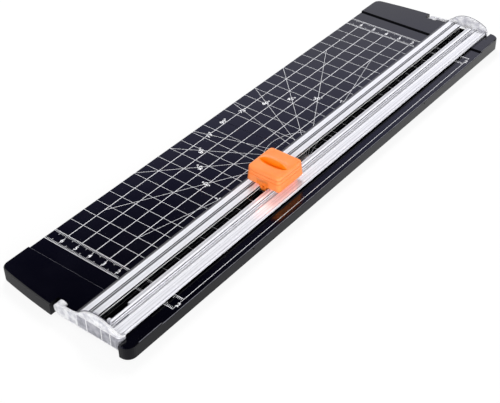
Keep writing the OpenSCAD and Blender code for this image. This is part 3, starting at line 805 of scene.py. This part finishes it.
def rail_plastic():
    """Milky clear extrusion: frosted and clear stretches run side by side along it, with painted sheen
    and shade.
    """
    material, tree, shader, place = new_material("rail_clear")
    split = add_split(tree, place)
    left_shades = LEFT_EDGE + LEFT_FROSTED_AND_SHEEN + LEFT_GROOVE_SHADE + LEFT_FOOT_SHADE_AND_SHEEN + LEFT_RIDGE
    right_shades = RIGHT_RIDGE + RIGHT_FOOT_SHADE_AND_SHEEN + RIGHT_GROOVE_SHADE_AND_SHEEN + RIGHT_FROSTED_AND_SHEEN + RIGHT_EDGE
    left = stripes(tree, split["X"], CUT_X, left_shades)
    right = stripes(tree, split["X"], CUT_X, right_shades)
    # Painted shade and highlights up the walls of the slot and the right ridge
    slot_walls = stripes(tree, split["Z"], DECK_Z, SLOT_WALL_SHADE_AND_HIGHLIGHT)
    ridge_wall = stripes(tree, split["Z"], DECK_Z, RIDGE_WALL_SHADE_AND_HIGHLIGHT)
    colour = mix_colours(tree, add_math(tree, "GREATER_THAN", split["X"], CUT_X), left, right)
    colour = mix_colours(tree, between(tree, split["X"], SLOT_BAND), colour, slot_walls)
    colour = mix_colours(tree, between(tree, split["X"], RIDGE_BAND), colour, ridge_wall)
    tree.links.new(colour, shader.inputs["Base Color"])
    streaks = add_noise(tree, drawn_out(tree, place, 0.02), 1400, 3)
    tree.links.new(add_range(tree, streaks, 0.1, 0.22), shader.inputs["Roughness"])
    shader.inputs["Transmission Weight"].default_value = 0.12
    shader.inputs["IOR"].default_value = 1.49
    add_bump(tree, streaks, shader, 0.15, 0.05 * MM)
    return material


def cap_plastic():
    """Clear moulded plastic, slightly milky and rippled, with painted light: bright in the domes, greyer
    in the panes.
    """
    material, tree, shader, place = new_material("cap_clear")
    ripple = add_noise(tree, place, 330, 3)
    split = add_split(tree, place)
    # Domes and the lug's arm get a lighter colour as painted light, the panes a greyer one
    dome = add_math(tree, "GREATER_THAN", split["Z"], CAP_LEDGE * MM)
    arm = add_math(tree, "LESS_THAN", split["X"], CUT_X + (TURN_X - 2) * MM)
    thick = add_math(tree, "MAXIMUM", dome, arm)
    panes = add_ramp(tree, ripple, ((0.35, (0.3, 0.3, 0.34)), (0.65, (0.52, 0.52, 0.57))))
    bright = add_ramp(tree, ripple, ((0.35, (0.58, 0.58, 0.64)), (0.6, (0.98, 0.98, 1.0))))
    tree.links.new(mix_colours(tree, thick, panes, bright), shader.inputs["Base Color"])
    tree.links.new(add_range(tree, ripple, 0.06, 0.16), shader.inputs["Roughness"])
    shader.inputs["Transmission Weight"].default_value = 0.3
    shader.inputs["IOR"].default_value = 1.3
    add_bump(tree, ripple, shader, 0.25, 0.2 * MM)
    return material


def rim_plastic():
    """Edges and ribs of the clear caps, painted white as the light they gather."""
    material, tree, shader, place = new_material("cap_rim")
    ripple = add_noise(tree, place, 400, 2)
    tree.links.new(add_ramp(tree, ripple, ((0.3, (0.9, 0.9, 0.95)), (0.6, (1.0, 1.0, 1.0)))),
                   shader.inputs["Base Color"])
    tree.links.new(add_range(tree, ripple, 0.1, 0.2), shader.inputs["Roughness"])
    shader.inputs["Transmission Weight"].default_value = 0.3
    shader.inputs["IOR"].default_value = 1.3
    return material


def orange_plastic(name, deep, light, thumb):
    """Satin orange moulding with a faint spark-eroded grain, painted deeper in the thumb dish as shade.
    """
    material, tree, shader, place = new_material(name)
    clouds = add_noise(tree, place, 160, 3)
    grain = add_noise(tree, place, 3200, 2)
    # The thumb attribute marks where a deeper orange is painted as shade in the dish
    dish = tree.nodes.new("ShaderNodeAttribute")
    dish.attribute_name = "thumb"
    shades = add_ramp(tree, clouds, ((0.3, deep), (0.7, light)))
    colour = mix_colours(tree, dish.outputs["Fac"], shades, (*thumb, 1))
    tree.links.new(colour, shader.inputs["Base Color"])
    tree.links.new(add_range(tree, grain, 0.34, 0.46), shader.inputs["Roughness"])
    shader.inputs["Subsurface Weight"].default_value = 0.2
    shader.inputs["Subsurface Radius"].default_value = (1.2, 0.5, 0.1)
    shader.inputs["Subsurface Scale"].default_value = 1.0 * MM
    add_bump(tree, grain, shader, 0.08, 0.05 * MM)
    return material


def steel():
    """Ground steel with fine marks."""
    material, tree, shader, place = new_material("ground_steel")
    marks = add_noise(tree, place, 1800, 3)
    shader.inputs["Base Color"].default_value = (0.6, 0.61, 0.63, 1)
    shader.inputs["Metallic"].default_value = 1.0
    tree.links.new(add_range(tree, marks, 0.22, 0.4), shader.inputs["Roughness"])
    add_bump(tree, marks, shader, 0.1, 0.03 * MM)
    return material


def foot_rubber():
    """Matte rubber with a pitted surface."""
    material, tree, shader, place = new_material("foot_rubber")
    pits = add_noise(tree, place, 1500, 4)
    tree.links.new(add_ramp(tree, pits, ((0.3, (0.02, 0.02, 0.02)), (0.7, (0.04, 0.04, 0.04)))),
                   shader.inputs["Base Color"])
    shader.inputs["Roughness"].default_value = 0.85
    add_bump(tree, pits, shader, 0.4, 0.1 * MM)
    return material


def dress(names, material):
    """Gives nodes of the solid model their material."""
    for name in names:
        mesh = nodes[name].data
        mesh.materials.clear()
        mesh.materials.append(material)


# Stage, light and camera

def seen_rays(tree):
    """1 for camera, glossy and transmission rays, 0 for the others."""
    path = tree.nodes.new("ShaderNodeLightPath").outputs
    seen = add_math(tree, "MAXIMUM", path["Is Camera Ray"], path["Is Glossy Ray"])
    return add_math(tree, "MAXIMUM", seen, path["Is Transmission Ray"])


def studio_world():
    """White round the horizon that falls off to a dark ceiling, as the object mirrors it."""
    world = bpy.data.worlds.new("studio")
    bpy.context.scene.world = world
    world.use_nodes = True
    tree = world.node_tree
    output = tree.nodes["World Output"]
    fill = tree.nodes["Background"]
    fill.inputs["Color"].default_value = (1.0, 1.0, 1.0, 1)
    fill.inputs["Strength"].default_value = FILL
    place = tree.nodes.new("ShaderNodeTexCoord")
    sky = add_ramp(tree, add_split(tree, place.outputs["Generated"])["Z"], SKY)
    seen = tree.nodes.new("ShaderNodeBackground")
    tree.links.new(sky, seen.inputs["Color"])
    mix = tree.nodes.new("ShaderNodeMixShader")
    tree.links.new(seen_rays(tree), mix.inputs["Fac"])
    tree.links.new(fill.outputs[0], mix.inputs[1])
    tree.links.new(seen.outputs[0], mix.inputs[2])
    tree.links.new(mix.outputs[0], output.inputs["Surface"])


def pale_floor():
    """White floor that still takes the object's shadow."""
    material, tree, shader, _ = new_material("floor_white")
    shader.inputs["Base Color"].default_value = (0.9, 0.9, 0.9, 1)
    shader.inputs["Roughness"].default_value = 0.9
    shader.inputs["Specular IOR Level"].default_value = 0.0
    glow = tree.nodes.new("ShaderNodeEmission")
    mix = tree.nodes.new("ShaderNodeMixShader")
    tree.links.new(add_math(tree, "MULTIPLY", seen_rays(tree), FLOOR_GLOW), mix.inputs["Fac"])
    tree.links.new(shader.outputs[0], mix.inputs[1])
    tree.links.new(glow.outputs[0], mix.inputs[2])
    tree.links.new(mix.outputs[0], tree.nodes["Material Output"].inputs["Surface"])
    bm = bmesh.new()
    bmesh.ops.create_grid(bm, x_segments=1, y_segments=1, size=6)
    floor = mesh_object(bm, "floor", material)


def add_lamp(name, place, way, side, power):
    """Square lamp that shines one way and shows in no reflection."""
    light = bpy.data.lights.new(name, "AREA")
    light.shape = "SQUARE"
    light.size = side
    light.energy = power
    lamp = add_object(name, light)
    lamp.location = place
    lamp.rotation_euler = way.to_track_quat("-Z", "Y").to_euler()
    lamp.visible_glossy = False
    return lamp


def add_softbox(name, place, side, power):
    """Lamp that points at the object and doesn't show through clear plastic."""
    lamp = add_lamp(name, place, -Vector(place), side, power)
    lamp.visible_transmission = False


def light_through_head():
    """Orange light that the translucent head passes on to the rail and base in its shade."""
    lit = bpy.data.collections.new("lit_through_head")
    for name in ("rail", "base"):
        lit.objects.link(nodes[name])
    bpy.context.scene.collection.children.link(lit)
    lamp = add_lamp("through_head", (HEAD_X, HEAD_Y, ROOF_Z), GLOW_WAY, GLOW_SIDE, GLOW_POWER)
    lamp.data.spread = math.radians(GLOW_SPREAD)
    lamp.data.color = GLOW_COLOUR
    lamp.light_linking.receiver_collection = lit
    lamp.light_linking.blocker_collection = lit
    lamp.parent = frame["bodies"]["head"]


def photograph_camera():
    """Place, direction and lens solved from the printed centimetre grid."""
    data = bpy.data.cameras.new("camera")
    data.lens = 79.459
    data.sensor_width = 36
    data.sensor_fit = "HORIZONTAL"
    data.clip_start = 0.01
    camera = add_object("camera", data)
    camera.location = (0.31731, -0.41991, 0.37897)
    camera.rotation_euler = [math.radians(v) for v in (51.5896, 1.1765, 38.1551)]
    bpy.context.scene.camera = camera


# Making

measuring_print(printed_ink())
dress(["base"], black_plastic())
# Grey beads on the base's edges, a painted highlight
worn_edges(worn_plastic())
dress(["cutting_mat"], mat_plastic())
dress(["rail"], rail_plastic())
clear = cap_plastic()
dress(["near_end_cap", "far_end_cap"], clear)
end_cap("near_cap_shell", -1, clear, "near_end_cap")
end_cap("far_cap_shell", 1, clear, "far_end_cap")
rims = rim_plastic()
cap_rims("near_cap_rims", -1, rims)
cap_rims("far_cap_rims", 1, rims)
dark = dark_edge()
cap_edges(dark)
rail_end_grooves(dark)
# The head's third colour is the deeper orange painted as shade in the thumb dish
head_shell(orange_plastic("head_orange", (1.0, 0.26, 0.06), (1.0, 0.3, 0.085), (1.0, 0.23, 0.002)))
dress(["cutter_slider", "blade_holder"],
      orange_plastic("holder_orange", (0.92, 0.2, 0.02), (0.98, 0.24, 0.03), (0.92, 0.2, 0.02)))
dress(["blade", "blade_pin", "near_hinge_pin", "far_hinge_pin", "left_spring", "right_spring"], steel())
dress([name for name in nodes if name.endswith("_foot")], foot_rubber())

photograph_camera()
studio_world()
pale_floor()
add_softbox("key", (-0.55, 0.6, 0.85), 0.4, 11)
add_softbox("front", (0.85, -0.75, 0.32), 0.6, 11.5)
light_through_head()
bpy.context.scene.view_settings.view_transform = "Standard"
